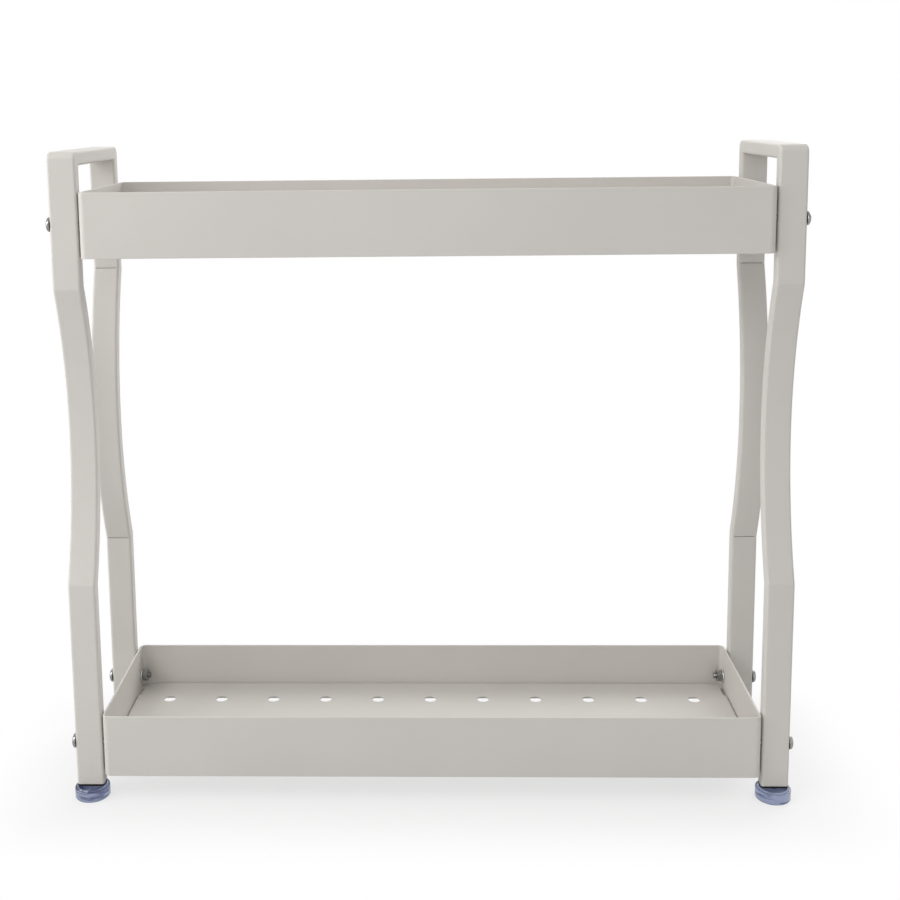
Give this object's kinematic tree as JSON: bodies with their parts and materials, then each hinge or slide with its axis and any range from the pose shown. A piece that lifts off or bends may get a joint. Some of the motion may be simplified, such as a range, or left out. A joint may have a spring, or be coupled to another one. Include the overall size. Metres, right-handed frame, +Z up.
{
  "type": "two-tier countertop shelf",
  "caption": "Coated metal counter shelf with a tray at top and bottom, held between folded-tube side frames that narrow to a waist and form carrying bars, on clear round feet.",
  "frame": {"origin": "on the counter, under the middle of the shelf", "axes": "+X along the trays towards the right side frame, +Y from front to back, +Z up"},
  "size_m": [0.4256, 0.108, 0.383],
  "materials": {
    "powder_coat": "satin powder coat",
    "plated_steel": "bright zinc plating",
    "black_plastic": "matt moulded",
    "clear_plastic": "clear, faintly blue"
  },
  "bodies": {
    "root": {"left_side_frame": "powder_coat", "right_side_frame": "powder_coat", "upper_tray_band": "powder_coat", "upper_tray_floor_pan": "powder_coat", "lower_tray_band": "powder_coat", "lower_tray_floor_pan": "powder_coat", "screw_upper_left_front": "plated_steel", "screw_upper_left_back": "plated_steel", "screw_upper_right_front": "plated_steel", "screw_upper_right_back": "plated_steel", "screw_lower_left_front": "plated_steel", "screw_lower_left_back": "plated_steel", "screw_lower_right_front": "plated_steel", "screw_lower_right_back": "plated_steel", "washer_upper_left_front": "plated_steel", "washer_upper_left_back": "plated_steel", "washer_upper_right_front": "plated_steel", "washer_upper_right_back": "plated_steel", "washer_lower_left_front": "plated_steel", "washer_lower_left_back": "plated_steel", "washer_lower_right_front": "plated_steel", "washer_lower_right_back": "plated_steel", "nut_upper_left_front": "plated_steel", "nut_upper_left_back": "plated_steel", "nut_upper_right_front": "plated_steel", "nut_upper_right_back": "plated_steel", "nut_lower_left_front": "plated_steel", "nut_lower_left_back": "plated_steel", "nut_lower_right_front": "plated_steel", "nut_lower_right_back": "plated_steel", "tube_plug_left_front": "black_plastic", "foot_left_front": "clear_plastic", "tube_plug_left_back": "black_plastic", "foot_left_back": "clear_plastic", "tube_plug_right_front": "black_plastic", "foot_right_front": "clear_plastic", "tube_plug_right_back": "black_plastic", "foot_right_back": "clear_plastic"}
  },
  "joints": []
}
